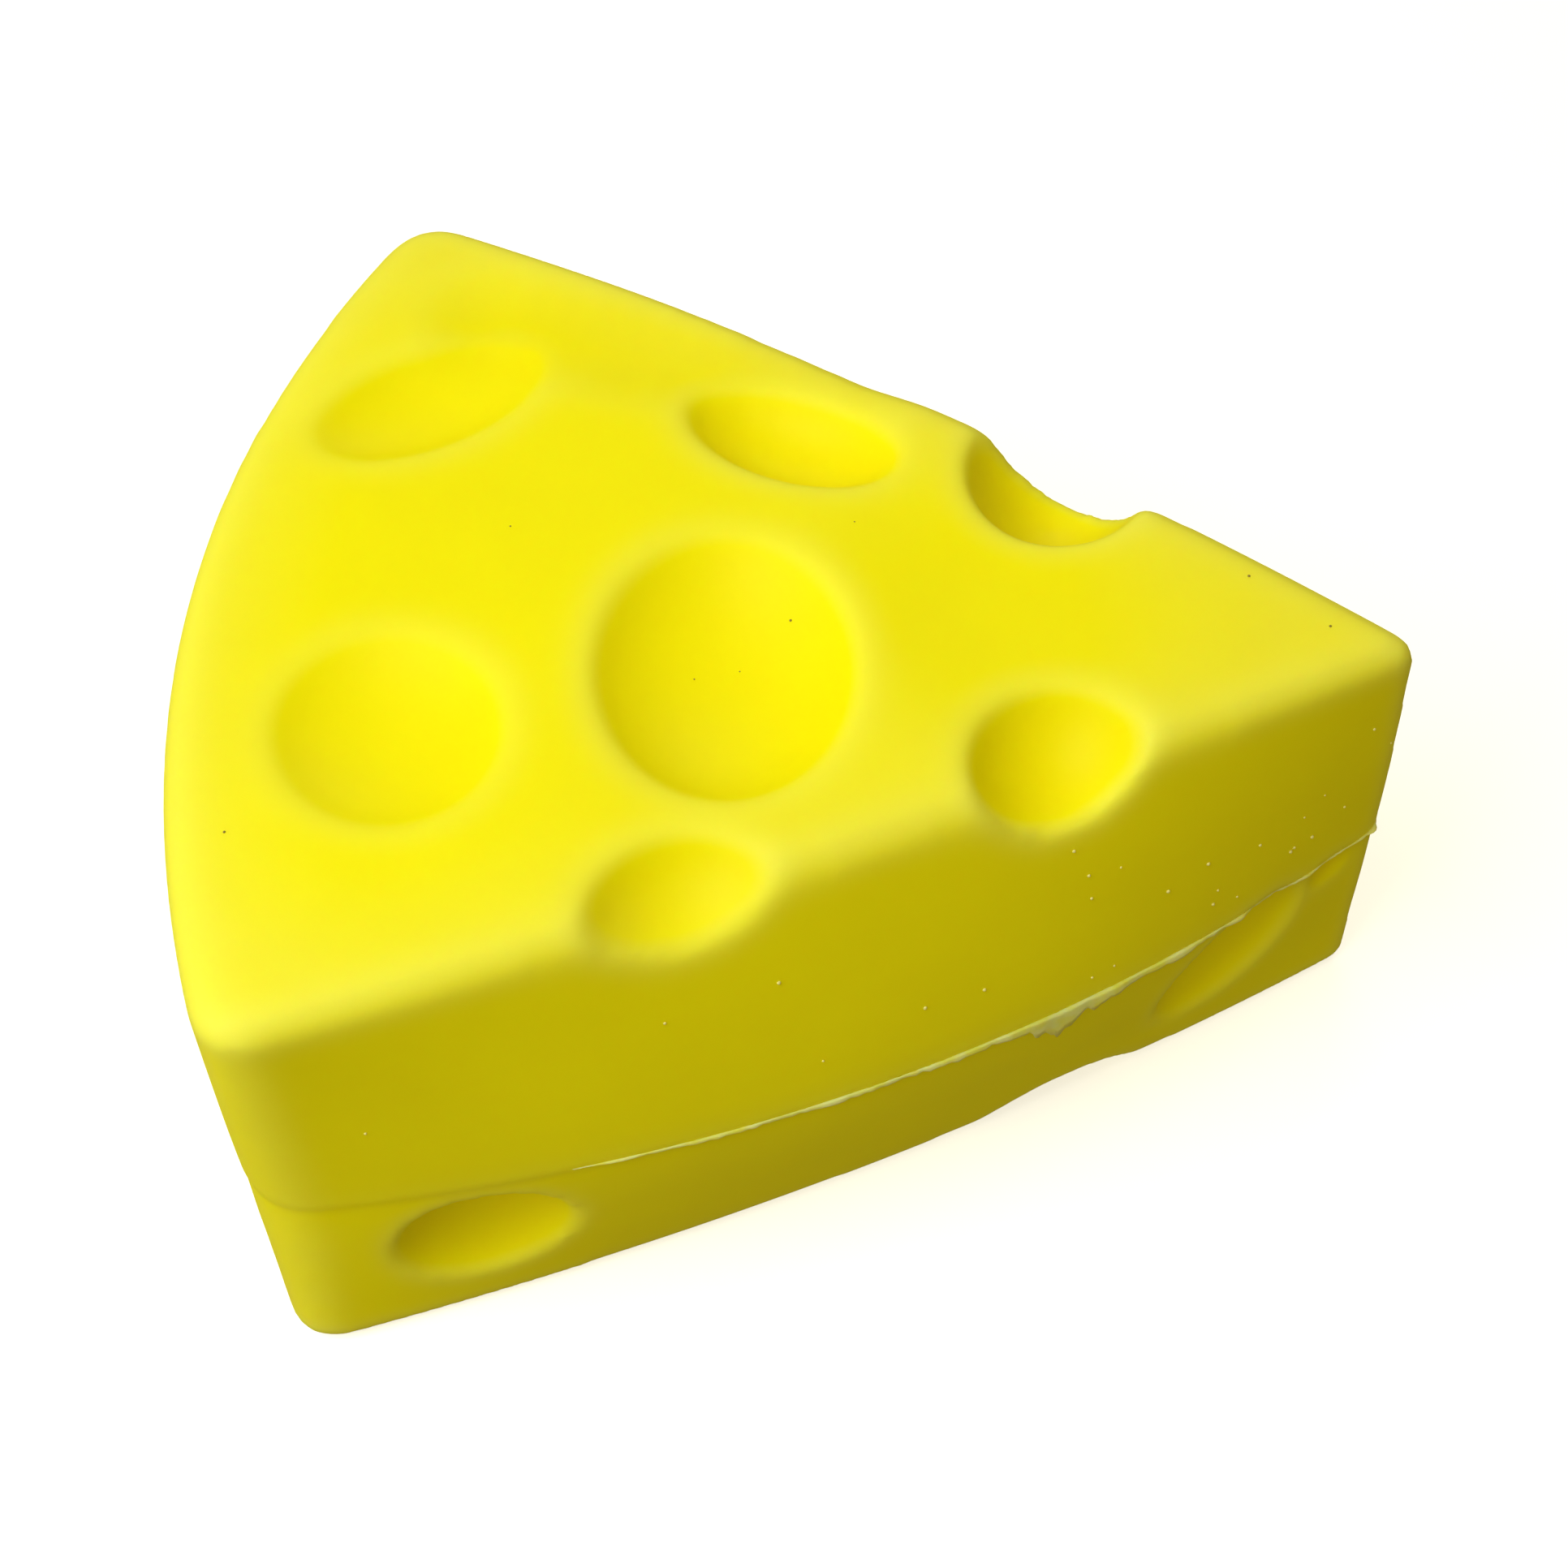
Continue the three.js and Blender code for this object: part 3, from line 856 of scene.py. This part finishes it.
# %% Floor
SHEET_WIDTH, SHEET_WHITE, SHEET_GLOW = 6, 0.9, 0.6
bpy.ops.object.select_all(action="DESELECT")
bpy.ops.mesh.primitive_plane_add(size=SHEET_WIDTH, location=(0, 0, 0))
floor = fresh_object("floor")
white_sheet, _, _, sheet_shader = fresh_material("white_sheet")
sheet_shader.inputs["Base Color"].default_value = (SHEET_WHITE, SHEET_WHITE, SHEET_WHITE, 1)
sheet_shader.inputs["Roughness"].default_value = 0.9
sheet_shader.inputs["Emission Color"].default_value = (1, 1, 1, 1)
sheet_shader.inputs["Emission Strength"].default_value = SHEET_GLOW
floor.data.materials.append(white_sheet)
floor.visible_diffuse = False
floor.visible_glossy = False
floor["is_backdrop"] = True
print("floor:", SHEET_WIDTH, "m wide")

# %% Sky
scene = bpy.context.scene
scene.view_settings.view_transform = "Standard"
scene.world = bpy.data.worlds.new("studio")
scene.world.use_nodes = True
SKY_COLOUR = (1.0, 0.83, 0.4)
SKY_BRIGHTEST = (-0.5, -0.3, 0.8)
SKY_DARK, SKY_LIGHT = 0.12, 0.60
sky_nodes, sky_links = scene.world.node_tree.nodes, scene.world.node_tree.links
sky = sky_nodes["Background"]
sky.inputs["Color"].default_value = (*SKY_COLOUR, 1)
sky_way = sky_nodes.new("ShaderNodeTexCoord")
towards = sky_nodes.new("ShaderNodeVectorMath")
towards.operation = "DOT_PRODUCT"
towards.inputs[1].default_value = SKY_BRIGHTEST
sky_links.new(sky_way.outputs["Generated"], towards.inputs[0])
sky_range = sky_nodes.new("ShaderNodeMapRange")
sky_range.inputs["From Min"].default_value = -1
sky_range.inputs["To Min"].default_value = SKY_DARK
sky_range.inputs["To Max"].default_value = SKY_LIGHT
sky_links.new(towards.outputs["Value"], sky_range.inputs["Value"])
sky_links.new(sky_range.outputs["Result"], sky.inputs["Strength"])
print("sky from", SKY_DARK, "to", SKY_LIGHT)

# %% Lamps
LAMP_COLOUR = (0.95, 1.0, 0.92)


def soft_box(name, place, aim, width, power):
    """A square area light, facing a point."""
    light = bpy.data.objects.new(name, bpy.data.lights.new(name, "AREA"))
    scene.collection.objects.link(light)
    light.data.size = width
    light.data.color = LAMP_COLOUR
    light.data.energy = power
    way = Vector(aim) - Vector(place)
    facing = way.to_track_quat("-Z", "Y").to_matrix().to_4x4()
    light.matrix_world = Matrix.Translation(place) @ facing


LIGHTS = [
    # name, degrees round from the near side, degrees up, metres away, width, watts
    ("from_the_front", 310, 60, 0.25, 0.15, 0.265),
    ("from_the_left", 290, 45, 0.45, 0.25, 0.15),
    ("from_behind", 180, 30, 0.45, 0.25, 0.20),
    ("low_front", 315, 25, 0.45, 0.25, 0.20),
]
AIM = Vector((0, 0, 0.02))   # the middle of the wedge
for name, round_by, up_by, away, width, watts in LIGHTS:
    level, rise = math.cos(math.radians(up_by)), math.sin(math.radians(up_by))
    turned = math.radians(round_by)
    way = Vector((level * math.sin(turned), -level * math.cos(turned), rise))
    soft_box(name, AIM + way * away, AIM, width, watts)
print("lamps:", ", ".join(lamp[0] for lamp in LIGHTS))

# %% [markdown]
# ## Check and finish
#
# The box round everything is measured again and printed beside the imported model's box. The
# two should agree to a millimetre or so: the skin is a little fuller than the imported solid at
# the sides, and the flash stands proud of it.

# %% Check the size and finish
visual_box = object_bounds()
for corner, made, packed in zip(("low", "high"), visual_box, cad_box):
    print(corner, "corner past the packed one, mm:", [
        round((m - p) / MM, 2) for m, p in zip(made, packed)
    ])
